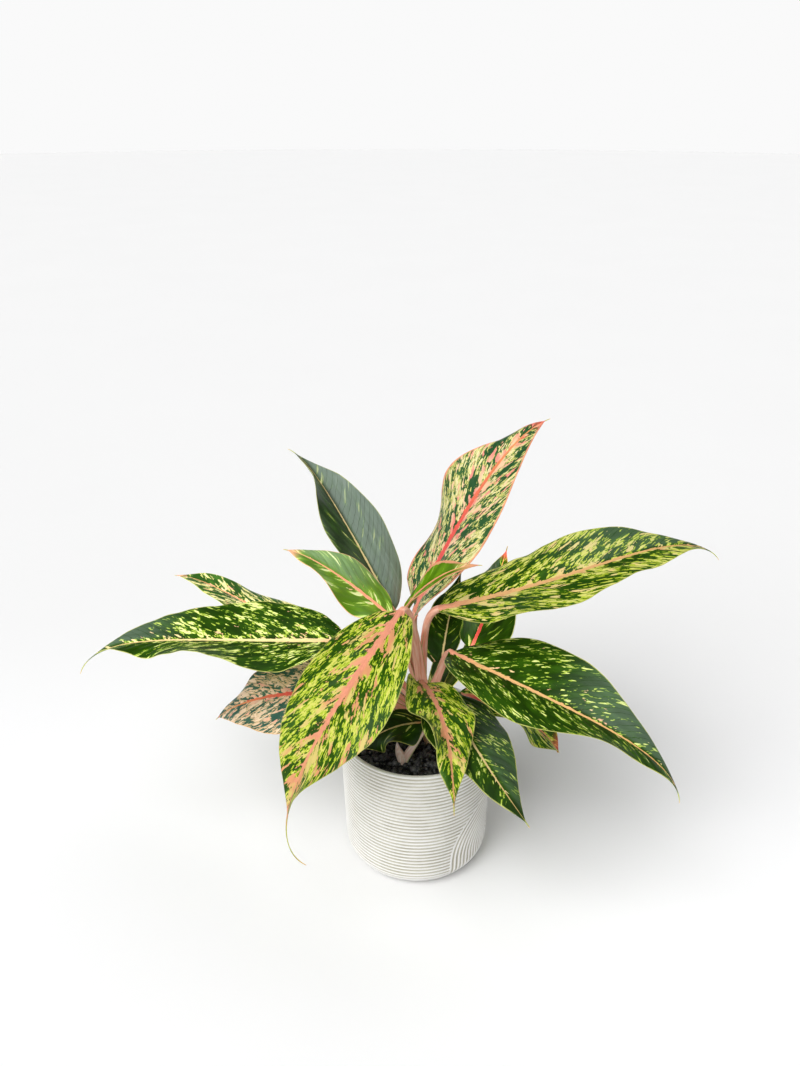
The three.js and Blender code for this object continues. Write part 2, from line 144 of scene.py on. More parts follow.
FLOOR_HALF = 12.0  # half the side of the square floor
FLOOR_DROP = 0.3 * MM  # from the pot's underside down to it
FLOOR_FADE = (-0.05, 0.4)  # distances behind the pot's axis between which it gets a little duller
BACKDROP_RADIUS = 11
SOFTBOXES = [  # azimuth, rise, angular size and strength
    (-111, 57, 50, 1.85),
    (-138, 42, 50, 1.9),
    (60, 60, 50, 0.5),
    (8, 56, 36, 0.15),
]
HORIZON_BAND = (0.1, 0.22)  # heights on the unit sphere between which the light fades
HORIZON_LIGHT = 0.955
SKY_LIGHT = 0.03

CAMERA_PLACE = (0, -0.6118, 0.6044)
CAMERA_PITCH = 26.08  # downwards
CAMERA_YAW = 1.34  # to the left
FOCAL_PIXELS = 900
PICTURE_HEIGHT = 1066
SENSOR = 36

# The leaves, from the innermost stalk to the outermost. foot_z: height of the stalk's foot on the cane.
# stalk: direction, length, rise at the foot and at the blade, and what differs from the usual. Of the packed
# one: bend, the share after which it bends. Of the drawn one: leave and arrive, its rise at the foot and its
# bend at the blade; offset, its foot's distance from the cane's axis; shift and bow, how far its foot and
# its middle are moved in X, Y and Z; slim and wing, its thickness and the width of its thin edges, as
# shares; skirt, the width of the blade that runs down along it.
# blade: direction, length, half width, turn to the side, rise at the base, arch, droop of the tip, and broad,
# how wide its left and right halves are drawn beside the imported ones.
# roll: about the midrib, at the base and its change; fold: lift of the two halves; taper: power of the
# outline towards the tip; tail: share of the length in the drip tip; quilt: height of the swells, as a share;
# left, right: height, number and phase of the margin's waves.
LEAVES = [
    dict(
        name="leaf_rolled", finish="young", foot_z=0.167,
        stalk=dict(
            azimuth=162, length=0.071, rise=(80, 62),
            shift=(0.0015, 0.0055, -0.006), bow=(0.0005, -0.002, 0.001),
        ),
        blade=dict(azimuth=-16, length=0.083, half_width=0.011, turn=-1, rise=64, arch=-44, droop=-15),
        roll=(15, 12), fold=26, taper=1.2, tail=0.04, quilt=0.4,
        left=(-0.004, 1.3, -0.05), right=(-0.0005, 2.4, 0.1),
    ),
    dict(
        name="leaf_young_left", finish="young", foot_z=0.157,
        stalk=dict(
            azimuth=160, length=0.073, rise=(80, 71),
            shift=(-0.0015, 0.0013, 0), bow=(-0.0007, 0.0023, -0.0011),
        ),
        blade=dict(azimuth=170, length=0.104, half_width=0.026, turn=5, rise=43, arch=-14, droop=-23),
        roll=(-8, -2), fold=11, taper=1.1, tail=0.04, quilt=0.3,
        left=(0.0045, 1.5, 0.25), right=(0.0015, 1.9, 0.2),
    ),
    dict(
        name="leaf_tall_left", finish="dark", foot_z=0.153,
        stalk=dict(azimuth=126, length=0.075, rise=(71, 45), shift=(0, 0.0023, 0)),
        blade=dict(azimuth=128, length=0.188, half_width=0.0345, turn=2, rise=41, arch=-8, droop=-38),
        roll=(8, 14), fold=25, taper=1.2, tail=0.08, quilt=0.2,
        left=(0.0055, 1.7, 0), right=(0.005, 1, 0.6),
    ),
    dict(
        name="leaf_right", finish="yellow", foot_z=0.152,
        stalk=dict(
            azimuth=12, length=0.095, rise=(89, 102), leave=-0.2, arrive=0.65,
            offset=-0.005, shift=(0.0002, -0.0009, 0),
        ),
        blade=dict(azimuth=-6, length=0.232, half_width=0.0435, turn=22, rise=17, arch=6, droop=-78),
        roll=(4, 1), fold=14, taper=1.2, tail=0.06,
        left=(0.006, 1.5, 0.35), right=(0.0025, 3.4, 0.25),
    ),
    dict(
        name="leaf_low_right", finish="dark", foot_z=0.152,
        stalk=dict(azimuth=-20, length=0.06, rise=(75, 91), leave=-0.2, arrive=0.25),
        blade=dict(azimuth=-40, length=0.215, half_width=0.046, turn=23, rise=1, arch=-23, droop=-62),
        roll=(4, -5), fold=19, taper=1.4, tail=0.05,
        left=(0.0055, 0.9, 0.8), right=(0.005, 2.1, -0.05),
    ),
    dict(
        name="leaf_tall_right", finish="pink", foot_z=0.151,
        stalk=dict(azimuth=103, length=0.075, rise=(63, 24), skirt=0.007),
        blade=dict(azimuth=20, length=0.203, half_width=0.043, turn=6, rise=67, arch=-18, droop=-38),
        roll=(-14, 30), fold=11, taper=1, tail=0.03,
        left=(0.0085, 2, 0.05), right=(0.0055, 0.9, 0.4),
    ),
    dict(
        name="leaf_front_left", finish="yellow", foot_z=0.152,
        stalk=dict(azimuth=212, length=0.11, rise=(83, 89), shift=(0, -0.0057, 0), bow=(0, -0.0005, 0.0002)),
        blade=dict(azimuth=-122, length=0.237, half_width=0.044, turn=-37, rise=-20, arch=-65, droop=-50),
        roll=(0, 5), fold=13, taper=1.1, tail=0.25,
        left=(0.01, 1.6, 0.15), right=(0.006, 1.4, 0.45),
    ),
    dict(
        name="leaf_front", finish="yellow", foot_z=0.148,
        stalk=dict(
            azimuth=-102, length=0.054, rise=(70, 58), shift=(0, -0.0024, 0), bow=(0, -0.0006, 0.0003)
        ),
        blade=dict(azimuth=-71, length=0.136, half_width=0.0245, turn=-19, rise=18, arch=-45, droop=-10),
        roll=(-15, -12), fold=18, taper=1.3, tail=0.05,
        left=(0.0025, 2.9, 0), right=(0.007, 2.1, 0),
    ),
    dict(
        name="leaf_back_dark", finish="dark", foot_z=0.143,
        stalk=dict(azimuth=63, length=0.037, rise=(64, 37), skirt=0.005),
        blade=dict(
            azimuth=82, length=0.095, half_width=0.013, turn=-10, rise=32, arch=-6, droop=-1, broad=(1.55, 1)
        ),
        roll=(-1, -5), fold=12, taper=1.4, tail=0.04,
        left=(0.003, 2, 0), right=(0, 2, -0.05),
    ),
    dict(
        name="leaf_front_right", finish="dark", foot_z=0.142,
        stalk=dict(azimuth=-50, length=0.045, rise=(68, 58)),
        blade=dict(azimuth=-83, length=0.151, half_width=0.0295, turn=25, rise=10, arch=-22, droop=-5),
        roll=(-6, 0), fold=6, taper=1.2, tail=0.03,
        left=(0.0015, 2, 0.05), right=(0.0025, 2, 0),
    ),
    dict(
        name="leaf_left", finish="dark", foot_z=0.139,
        stalk=dict(azimuth=173, length=0.093, rise=(71, 33)),
        blade=dict(azimuth=184, length=0.24, half_width=0.046, turn=-12, rise=2, arch=-6, droop=-66),
        roll=(-9, 16), fold=20, taper=1.4, tail=0.08,
        left=(0.007, 2.3, 0.2), right=(0.004, 1, 0.5),
    ),
    dict(
        name="leaf_back_upright", finish="dark", foot_z=0.138,
        stalk=dict(azimuth=38, length=0.062, rise=(61, 33), skirt=0.006),
        blade=dict(azimuth=35, length=0.094, half_width=0.0315, turn=2, rise=63, arch=12, droop=-1),
        roll=(1, 3), fold=4, taper=1.3, tail=0.05,
        left=(-0.004, 1.9, -0.1), right=(-0.0005, 2.1, 0.05),
    ),
    dict(
        name="leaf_under_right", finish="yellow", foot_z=0.13,
        stalk=dict(azimuth=27, length=0.032, rise=(60, 28), wing=3),
        blade=dict(azimuth=16, length=0.127, half_width=0.028, turn=-3, rise=-19, arch=-41, droop=-2),
        roll=(3, 22), fold=16, taper=0.8, tail=0.02,
        left=(-0.0035, 2, 0), right=(-0.005, 1.9, 0.1),
    ),
    dict(
        name="leaf_back_left", finish="yellow", foot_z=0.129,
        stalk=dict(azimuth=151, length=0.076, rise=(56, 0)),
        blade=dict(azimuth=163, length=0.187, half_width=0.035, turn=-9, rise=23, arch=-7, droop=-30),
        roll=(16, -4), fold=12, taper=1.1, tail=0.02,
        left=(0.0005, 2, 0), right=(-0.004, 1.8, 0.2),
    ),
    dict(
        name="leaf_low_left", finish="pink", foot_z=0.126,
        stalk=dict(azimuth=188, length=0.061, rise=(63, 18)),
        blade=dict(azimuth=169, length=0.156, half_width=0.036, turn=-10, rise=-1, arch=-39, droop=-11),
        roll=(-19, -13), fold=5, taper=1.1, tail=0.03,
        left=(0.003, 2.3, 0.55), right=(0.004, 3, 0.25),
    ),
    dict(
        name="shoot", finish="dark", foot=SHOOT_FOOT,
        stalk=dict(azimuth=10, length=0.066, rise=(22, 47), bend=0.4, slim=0.62),
        blade=dict(azimuth=-174, length=0.064, half_width=0.0165, turn=-9, rise=5, arch=-67, droop=-3),
        roll=(-13, -7), fold=1, taper=1.2, tail=0.02,
        left=(-0.0085, 1.8, 0), right=(-0.001, 2.1, 0.1),
    ),
]

# ---- small helpers


def unit(vectors):
    return vectors / np.linalg.norm(vectors, axis=-1, keepdims=True)


def smooth(share):
    share = np.clip(share, 0, 1)
    return share * share * (3 - 2 * share)


def rgb(code):
    """A colour written as six hexadecimal digits, in linear values."""
    values = [int(code[i : i + 2], 16) / 255 for i in (0, 2, 4)]
    return [((v + 0.055) / 1.055) ** 2.4 if v > 0.04045 else v / 12.92 for v in values] + [1]


def wave_noise(seed, *coordinates):
    """A smooth, seeded, bumpy value from -1 to 1: crossed sine waves of several lengths."""
    random = np.random.default_rng(seed)
    total = 0
    for octave in range(3):
        turns = random.uniform(-1, 1, len(coordinates)) * 1.7**octave
        phase = random.uniform(0, TURN)
        total = total + np.sin(sum(k * c for k, c in zip(turns, coordinates)) + phase) / 1.5**octave
    return total / 2.1


def add_object(name, data):
    piece = bpy.data.objects.new(name, data)
    bpy.context.scene.collection.objects.link(piece)
    return piece


def make_object(name, points, faces, material, attributes=None, crease=60):
    """A piece that rides on the one body, with the given material."""
    mesh = bpy.data.meshes.new(name)
    mesh.from_pydata(np.asarray(points).reshape(-1, 3).tolist(), [], faces)
    for key, values in (attributes or {}).items():
        layer = mesh.attributes.new(key, "FLOAT_VECTOR", "POINT")
        layer.data.foreach_set("vector", np.asarray(values, np.float32).ravel())
    mesh.validate()
    mesh.shade_smooth()
    mesh.set_sharp_from_angle(angle=np.radians(crease))
    mesh.materials.append(material)
    piece = add_object(name, mesh)
    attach(piece, "root")
    return piece


def grid_faces(rows, columns, closed=False):
    """Quads over a grid of points, row by row; closed joins the last column to the first."""
    i, j = np.mgrid[0 : rows - 1, 0 : columns if closed else columns - 1]
    k = (j + 1) % columns
    quads = np.stack([i * columns + j, i * columns + k, (i + 1) * columns + k, (i + 1) * columns + j], -1)
    return quads.reshape(-1, 4)


def tube_faces(rows, columns):
    """Faces of a closed body whose rows are rings, with a cap over the first and the last."""
    sides = grid_faces(rows, columns, closed=True)[:, ::-1].tolist()
    first = list(range(columns))
    last = [(rows - 1) * columns + j for j in reversed(first)]
    return sides + [first, last]


def skin_faces(rows, columns):
    """Quads of a closed skin between an upper and a lower grid of points."""
    upper = grid_faces(rows, columns)
    size = rows * columns
    lower = upper[:, ::-1] + size
    i = np.arange(rows - 1) * columns
    j = np.arange(columns - 1)
    last = columns - 1
    end = (rows - 1) * columns
    left = np.stack([i, i + columns, i + columns + size, i + size], -1)
    right = np.stack([i + last + size, i + last + columns + size, i + last + columns, i + last], -1)
    start = np.stack([j + size, j + 1 + size, j + 1, j], -1)
    finish = np.stack([j + end, j + 1 + end, j + 1 + end + size, j + end + size], -1)
    return np.concatenate([upper, lower, left, right, start, finish]).tolist()


class Shader:
    """A new material or world whose nodes are added by short calls; a value is a socket or a constant."""

    def __init__(self, name, kind="materials"):
        self.owner = getattr(bpy.data, kind).new(name)
        self.owner.use_nodes = True
        self.nodes = self.owner.node_tree.nodes
        self.links = self.owner.node_tree.links
        self.surface = self.nodes.get("Principled BSDF")

    def set(self, socket, value):
        if isinstance(value, bpy.types.NodeSocket):
            self.links.new(value, socket)
        else:
            socket.default_value = value

    def add(self, kind, inputs, **settings):
        node = self.nodes.new("ShaderNode" + kind)
        for key, value in settings.items():
            setattr(node, key, value)
        for key, value in inputs.items():
            self.set(node.inputs[key], value)
        return node

    def attribute(self, name):
        return self.add("Attribute", {}, attribute_name=name).outputs["Vector"]

    def place(self):
        return self.add("TexCoord", {}).outputs["Object"]

    def split(self, vector):
        return self.add("SeparateXYZ", {0: vector}).outputs[:]

    def join(self, x, y, z):
        return self.add("CombineXYZ", {0: x, 1: y, 2: z}).outputs[0]

    def math(self, operation, a, b=0.0, c=0.0):
        return self.add("Math", {0: a, 1: b, 2: c}, operation=operation).outputs[0]

    def plus(self, a, b):
        return self.math("ADD", a, b)

    def minus(self, a, b):
        return self.math("SUBTRACT", a, b)

    def times(self, a, b):
        return self.math("MULTIPLY", a, b)

    def add_scaled(self, a, factor, b):
        return self.math("MULTIPLY_ADD", a, factor, b)

    def sway(self, noise, factor, b):
        """b, with the noise's distance from its mean added."""
        return self.add_scaled(self.plus(noise, -0.5), factor, b)

    def from_middle(self, value):
        """How far a value is from the middle between two whole numbers."""
        return self.math("ABSOLUTE", self.plus(self.math("FRACT", value), -0.5))

    def step(self, value, low, high):
        """0 below low, 1 above high and smooth between them; low may be the larger one."""
        inputs = {0: value, 1: low, 2: high}
        return self.add("MapRange", inputs, interpolation_type="SMOOTHSTEP").outputs[0]

    def noise(self, vector, scale, detail, roughness=0.5):
        inputs = {"Vector": vector, "Scale": scale, "Detail": detail, "Roughness": roughness}
        return self.add("TexNoise", inputs).outputs["Fac"]

    def mix(self, share, a, b):
        node = self.add("Mix", {}, data_type="RGBA")
        self.set(node.inputs[0], share)
        self.set(node.inputs[6], a)
        self.set(node.inputs[7], b)
        return node.outputs[2]

    def tint(self, colour, value):
        """The colour made lighter or darker by a value around 1."""
        node = self.add("Mix", {}, data_type="RGBA", blend_type="MULTIPLY")
        node.inputs[0].default_value = 1
        self.set(node.inputs[6], colour)
        self.set(node.inputs[7], self.add("CombineColor", {0: value, 1: value, 2: value}).outputs[0])
        return node.outputs[2]

    def bump(self, height, strength, distance):
        inputs = {"Height": height, "Strength": strength, "Distance": distance}
        self.set(self.surface.inputs["Normal"], self.add("Bump", inputs).outputs[0])

    def finish(self, colour, roughness):
        """The material, with its colour and roughness set."""
        self.set(self.surface.inputs["Base Color"], colour)
        self.set(self.surface.inputs["Roughness"], roughness)
        return self.owner


# ---- leaf finishes

# Colours of each finish: the ground in its deep and its lighter places, the fringe, the body and the core of
# a fleck, and the two colours of the large pale patches.
PALETTES = {
    "dark": ("1a3402", "2b4e05", "52781a", "a2b742", "dce28e", "e0cb90", "e2b088"),
    "yellow": ("274c03", "3f6c05", "7fa416", "b6ca34", "dcdc68", "dfca76", "e2a070"),
    "gold": ("204406", "386205", "7c9c18", "b8c83c", "dedc78", "e4d488", "e8cc84"),
    "pink": ("27502c", "43693a", "8c9a4c", "cac872", "e2d8a0", "e8c29a", "ea9080"),
    "rose": ("33574a", "4c6c58", "8f9470", "d4b48c", "e8ccae", "e4b89a", "e69a8a"),
    "cream": ("264a16", "3e6a22", "8c9a48", "cac478", "e8dca4", "ecd0a4", "e8ac8c"),
    "young": ("456c00", "669010", "82a82e", "aac25e", "d6dca0", "dad49a", "e0a070"),
}
# the grey of the painted sheen, which stands for the lamps' reflection on one half of some leaves
PAINTED_SHEEN = "8b9d90"
RIBS = {"cream": "e6d296", "tan": "e0ae76", "salmon": "e89a7a", "red": "e0544e", "line": "bcbf66"}
RIB_END = "d2a862"
UNDERSIDE = "7f9450"
STALKS = {"pink": ("e4967c", "f4c6ae"), "pale": ("e8c0b2", "f6e2da"), "green": ("34501a", "6f7c3c")}
STALK_GREEN = "8fa04c"
DRIP_TIP = ("bcc040", "f0c068")

# How the finish lies on each leaf, with lengths in mm. palette: the colours, if not those of the leaf's kind;
# flecks, patches: share of the blade that the flecks and the pale patches cover; grain: size of the flecks,
# as a share; stretch: how long they are drawn out along the side veins; cluster: how strongly they gather;
# thin: how much fewer they and the patches are at the tip; flames: length of the tongues that leave the
# midrib; rib: colour and half width of the midrib; spurs: length of its short spurs; rim: colour and width of
# the margin; tip: share of the blade that takes the midrib's colour; painted_sheen: the half (1 left, -1
# right) with a painted grey sheen that stands for the lamps' reflection, where it starts and how strong it
# is; underside: how pale that is; gloss, coat: strength of the reflections; stalk: its colours; tone:
# brightness of the whole, partly the leaf's own colour and partly painted light that makes up for how
# much lamp light the leaf gets.
LOOKS = {
    "leaf_rolled": dict(
        flecks=0.10, stretch=4, patches=0.02, rib=("salmon", 1.8), rim=("salmon", 1.4), tip=0.3, tone=0.95
    ),
    "leaf_young_left": dict(
        flecks=0.20, stretch=4, patches=0.02, rib=("salmon", 2.2), rim=("tan", 0.5), tip=0.16,
        painted_sheen=(-1, 0.2, 0.28), gloss=0.6, coat=0.3, tone=1.55,
    ),
    "leaf_tall_left": dict(
        flecks=0.05, stretch=6, rib=("cream", 1.5), painted_sheen=(-1, -0.2, 0.62), gloss=0.5, coat=0.4, tone=0.95
    ),
    "leaf_right": dict(
        palette="gold", flecks=0.50, stretch=1.2, patches=0.16, flames=16, rib=("tan", 3.4), spurs=1.2,
        painted_sheen=(1, 0.3, 0.15), tone=0.86,
    ),
    "leaf_low_right": dict(
        flecks=0.21, stretch=1.3, cluster=0.6, patches=0.02, flames=5, rib=("tan", 2.3), spurs=0.9,
        painted_sheen=(1, 0.35, 0.2), tone=1.25,
    ),
    "leaf_tall_right": dict(
        flecks=0.56, stretch=0.9, thin=0, patches=0.26, flames=9, rib=("red", 4.2), spurs=0.8,
        rim=("salmon", 1.5), tip=0.1, tone=0.96,
    ),
    "leaf_front_left": dict(
        flecks=0.58, stretch=0.8, patches=0.26, flames=30, rib=("salmon", 3.4), spurs=1.6, tone=0.8
    ),
    "leaf_front": dict(
        flecks=0.56, stretch=0.8, patches=0.13, flames=5, rib=("salmon", 2.8), spurs=1.6, tone=0.88
    ),
    "leaf_back_dark": dict(flecks=0.10, stretch=3, patches=0.01, rib=("cream", 0.8), stalk="green", tone=1.2),
    "leaf_front_right": dict(
        flecks=0.18, stretch=1.4, cluster=0.6, patches=0.012, flames=4, rib=("cream", 1.6),
        painted_sheen=(1, 0.1, 0.12), tone=0.95,
    ),
    "leaf_left": dict(
        flecks=0.30, stretch=1.2, thin=0.1, patches=0.04, flames=12, rib=("cream", 2.6),
        painted_sheen=(-1, 0.5, 0.25), tone=1.35,
    ),
    "leaf_back_upright": dict(
        flecks=0.05, stretch=4, patches=0.01, flames=4, rib=("red", 1.8), tip=0.15, stalk="green",
        painted_sheen=(1, 0, 0.15), tone=2.8,
    ),
    "leaf_under_right": dict(
        flecks=0.46, stretch=1.0, patches=0.16, flames=8, rib=("red", 3.4), tip=0.16, stalk="green",
        underside=0, gloss=0.04, grain=1.3, tone=0.95,
    ),
    "leaf_back_left": dict(
        palette="cream", flecks=0.56, stretch=1.1, patches=0.1, flames=6, rib=("salmon", 2.6), tip=0.08,
        grain=1.3, tone=1.65,
    ),
    "leaf_low_left": dict(
        palette="rose", flecks=0.62, stretch=0.7, patches=0.14, flames=6, rib=("red", 2.6), spurs=1.0,
        tip=0.06, rim=("tan", 0.6), grain=1.4, tone=1.0,
    ),
    "shoot": dict(flecks=0.06, stretch=3, flames=3, rib=("cream", 1.0), stalk="pale", tone=0.75),
}
FLECK = 2.7  # size of a fleck's cell across the side veins, in mm
PATCH = {"dark": 5.0, "yellow": 11.0, "pink": 9.0, "young": 9.0}  # and of a pale patch's
CLUSTER = 1.1  # how strongly the flecks gather in clusters
CELL = 0.5  # how much they differ from cell to cell
FINE = 0.65  # and how ragged they are
BORDER = 0.2  # width of the darker borders of the cells, as a share of a cell
BORDER_DEPTH = 0.16
TOWARDS_TIP = 0.04  # how much fewer they are at the tip
FRINGE = 0.05  # share of the blade that the fringe of the flecks adds
CORE = 0.4  # share of the flecks that their cores take
COAT_ROUGHNESS = 0.3
SPREAD = 0.17  # standard deviation of the noise that the flecks are cut from
SOFT = 0.01  # half the width of the soft edge of flecks and patches, in the same noise


def above(share):
    """The level that this share of the noise lies above."""
    return 0.5 + SPREAD * NormalDist().inv_cdf(1 - min(max(share, 0.001), 0.999))


def leaf_material(leaf):
    look = LOOKS[leaf["name"]]
    palette = PALETTES[look.get("palette", leaf["finish"])]
    deep, ground, fringe, body, core, cream, blush = map(rgb, palette)
    rib_name, rib_width = look["rib"]
    rib_colour = rgb(RIBS[rib_name])
    shader = Shader(leaf["name"])
    vein = shader.attribute("Vein")
    s, across, margin = shader.split(shader.attribute("Blade"))
    upper, side, _ = shader.split(shader.attribute("Part"))

    # the side veins' own coordinates, a little warped, then drawn out along the veins
    warp = shader.add("TexNoise", {"Vector": vein, "Scale": 0.12, "Detail": 2.0}).outputs["Color"]
    shift = shader.add("VectorMath", {0: warp, 1: (5, 5, 0)}, operation="MULTIPLY").outputs[0]
    place = shader.add("VectorMath", {0: vein, 1: shift}, operation="ADD").outputs[0]
    out, along, seed = shader.split(place)
    drawn = shader.join(shader.times(out, 1 / look["stretch"]), along, seed)
    fleck = FLECK * look.get("grain", 1)
    fine = shader.noise(drawn, 1 / fleck, 3.0, 0.6)
    cluster = shader.noise(place, 0.07, 1.0)
    cell_inputs = {"Vector": drawn, "Scale": 1 / fleck}
    cell = shader.add("TexVoronoi", cell_inputs).outputs["Color"]
    border = shader.add("TexVoronoi", cell_inputs, feature="DISTANCE_TO_EDGE").outputs["Distance"]
    value = shader.sway(cluster, look.get("cluster", CLUSTER), 0.5)
    value = shader.sway(shader.split(cell)[0], CELL, value)
    value = shader.sway(fine, FINE, value)
    value = shader.add_scaled(shader.step(border, BORDER, 0), -BORDER_DEPTH, value)
    thin = look.get("thin", TOWARDS_TIP)
    value = shader.add_scaled(shader.step(s, 0.4, 1.0), -thin, value)

    # ground, then the fringe, body and core of the flecks
    cloud = shader.noise(place, 0.07, 2.0)
    colour = shader.mix(shader.step(cloud, 0.35, 0.65), deep, ground)
    cover = look["flecks"]
    for share, tone in ((cover + FRINGE, fringe), (cover, body), (cover * CORE, core)):
        level = above(share)
        colour = shader.mix(shader.step(value, level - SOFT, level + SOFT), colour, tone)

    # pale patches, more of them near the midrib, broken up by the dark places of the flecks' noise
    if "patches" in look:
        near = shader.math("POWER", 2.718, shader.times(across, -1 / 12))
        broad = shader.noise(place, 1 / PATCH[leaf["finish"]], 2.0)
        patch = shader.add_scaled(near, 0.14, shader.sway(fine, 0.4, broad))
        patch = shader.add_scaled(shader.step(s, 0.5, 1.0), -1.5 * thin, patch)
        level = 0.55 + 0.7 * (above(look["patches"]) - 0.5)
        pale = shader.mix(shader.step(shader.noise(place, 0.06, 1.0), 0.42, 0.56), cream, blush)
        colour = shader.mix(shader.step(patch, level - SOFT, level + SOFT), colour, pale)

    # tongues of the midrib's colour that run out along the side veins
    if "flames" in look:
        cell = shader.add_scaled(along, MM / VEIN_PITCH, shader.times(side, 0.5))
        number = shader.math("FLOOR", cell)
        inputs = {"W": shader.add_scaled(side, 31.7, number)}
        random = shader.add("TexWhiteNoise", inputs, noise_dimensions="1D").outputs["Value"]
        reach = shader.times(shader.math("POWER", random, 2.0), look["flames"])
        left_over = shader.minus(1.0, shader.math("DIVIDE", out, shader.plus(reach, 0.5)))
        ragged = shader.sway(fine, 0.6, shader.times(left_over, 0.22))
        flame = shader.step(shader.minus(ragged, shader.from_middle(cell)), -0.015, 0.02)
        warm = shader.mix(shader.step(out, 4, 26), rib_colour, shader.mix(0.5, cream, blush))
        colour = shader.mix(flame, colour, warm)

    # the midrib, widest near its foot, with a ragged edge and short spurs along the side veins
    rag = shader.noise(shader.join(shader.times(out, 0.4), along, seed), 0.25, 4.0, 0.6)
    rest = shader.minus(1.0, shader.times(s, 1 / (1 - 0.8 * leaf["tail"])))
    taper = shader.math("POWER", shader.math("MAXIMUM", rest, 0.0), 0.8)
    taper = shader.times(taper, shader.step(s, -0.35, 0.1))
    half = shader.times(shader.times(taper, rib_width), shader.add_scaled(rag, 1.0, 0.5))
    spurs = shader.times(shader.step(rag, 0.5, 0.62), look.get("spurs", 0.2))
    half = shader.add_scaled(taper, spurs, half)
    in_rib = shader.step(shader.minus(across, half), 0.2, -0.2)
    rib_colour = shader.mix(shader.times(shader.step(s, 0.3, 1), 0.7), rib_colour, rgb(RIB_END))
    rib_colour = shader.mix(shader.step(s, 0.16, -0.02), rib_colour, rgb(STALKS["pink"][0]))
    rib_tone = shader.tint(rib_colour, shader.add_scaled(shader.noise(vein, 0.5, 2.0), 0.4, 0.82))
    colour = shader.mix(in_rib, colour, rib_tone)

    # painted sheen: a grey painted on one half, where that half would reflect the lamps, in long faint
    # streaks, with thin darker veins across it
    if "painted_sheen" in look:
        half, start, strength = look["painted_sheen"]
        sheen_share = shader.step(shader.times(side, half), -0.5, 0.5)
        sheen_share = shader.times(sheen_share, shader.step(s, start, start + 0.3))
        sheen_share = shader.times(sheen_share, shader.step(across, 1, 5))
        streak = shader.noise(shader.join(shader.times(across, 0.25), shader.times(s, 2), seed), 1.0, 3.0)
        sheen_share = shader.times(sheen_share, shader.add_scaled(streak, strength, 0.5 * strength))
        cell = shader.add_scaled(along, 1.6 * MM / VEIN_PITCH, shader.times(fine, 0.3))
        beside = shader.step(shader.from_middle(cell), 0.02, 0.07)
        sheen_share = shader.times(sheen_share, shader.add_scaled(beside, 0.6, 0.4))
        colour = shader.mix(sheen_share, colour, rgb(PAINTED_SHEEN))

    # the underside is paler and duller
    pale_side = look.get("underside", 0.55)
    colour = shader.mix(shader.add_scaled(upper, -pale_side, pale_side), colour, rgb(UNDERSIDE))

    # a line of uneven width at the margin, and the end in the midrib's colour
    rim_colour, rim_width = look.get("rim", ("line", 0.5))
    edge = shader.minus(margin, shader.times(shader.noise(place, 0.12, 2.0), 2 * rim_width))
    line = shader.times(shader.step(edge, 0.2, -0.1), shader.step(across, 2, 6))
    colour = shader.mix(shader.times(line, 0.8), colour, rgb(RIBS[rim_colour]))
    if "tip" in look:
        tip = shader.times(shader.step(s, 1 - look["tip"], 1 - 0.3 * look["tip"]), 0.75)
        colour = shader.mix(tip, colour, rgb(RIBS[rib_name]))

    # the brightness of the whole, partly the leaf's own and partly painted light that makes up for how much
    # lamp light the leaf gets, and then the drip tip
    light = look["tone"]
    colour = shader.tint(colour, shader.add_scaled(shader.noise(place, 0.16, 2.0), 0.3 * light, 0.85 * light))
    tail = leaf["tail"]
    for start, end, tone in ((tail, 0.7 * tail, DRIP_TIP[0]), (0.4 * tail, 0, DRIP_TIP[1])):
        colour = shader.mix(shader.times(shader.step(s, 1 - start, 1 - end), 0.85), colour, rgb(tone))

    # the stalk: pink with pale lengthwise streaks, and green along its thin edges
    streaks = shader.noise(shader.join(shader.times(across, 1.2), shader.times(along, 0.06), seed), 1.0, 2.0)
    stalk = shader.mix(shader.step(streaks, 0.25, 0.75), *map(rgb, STALKS[look.get("stalk", "pink")]))
    edge_green = shader.times(shader.step(margin, 0.5, 0.1), shader.step(s, -0.25, -0.5))
    stalk = shader.mix(shader.times(edge_green, 0.7), stalk, rgb(STALK_GREEN))
    on_stalk = shader.step(s, 0.006, -0.01)
    if "skirt" in leaf["stalk"]:
        on_stalk = shader.times(on_stalk, shader.step(across, 4.4, 3.6))
    colour = shader.mix(on_stalk, colour, stalk)

    sockets = shader.surface.inputs
    sockets["Specular IOR Level"].default_value = look.get("gloss", 0.12)
    sockets["Coat Weight"].default_value = look.get("coat", 0)
    sockets["Coat Roughness"].default_value = COAT_ROUGHNESS
    veinlets = shader.noise(shader.join(shader.times(out, 0.35), along, seed), 1.1, 3.0)
    shader.bump(veinlets, 0.5, 0.25 * MM)
    rough = shader.add_scaled(shader.noise(place, 0.3, 2.0), 0.16, 0.3)
    return shader.finish(colour, shader.add_scaled(shader.minus(1.0, upper), 0.2, rough))


# ---- leaf shapes

# s is the place on the leaf, -1 to 0 on the stalk and 0 to 1 on the blade; u is the place on the stalk alone,
# 0 to 1; t is the share of the half width, from the midrib to the margin.


def cane_axis(z):
    share = (np.asarray(z, float) - SOIL_LEVEL) / (CANE_TOP[2] - SOIL_LEVEL)
    foot = np.array([*CANE_FOOT, SOIL_LEVEL])
    return foot + (np.array(CANE_TOP) - foot) * share[..., None]


def direction(azimuth, rise):
    a, p = np.radians(azimuth), np.radians(rise)
    return np.stack([np.cos(p) * np.cos(a), np.cos(p) * np.sin(a), np.sin(p) + 0 * a], -1)


def blade_direction(blade, s):
    rise = blade["rise"] + blade["arch"] * s + blade["droop"] * s**6
    return direction(blade["azimuth"] + blade["turn"] * s, rise)


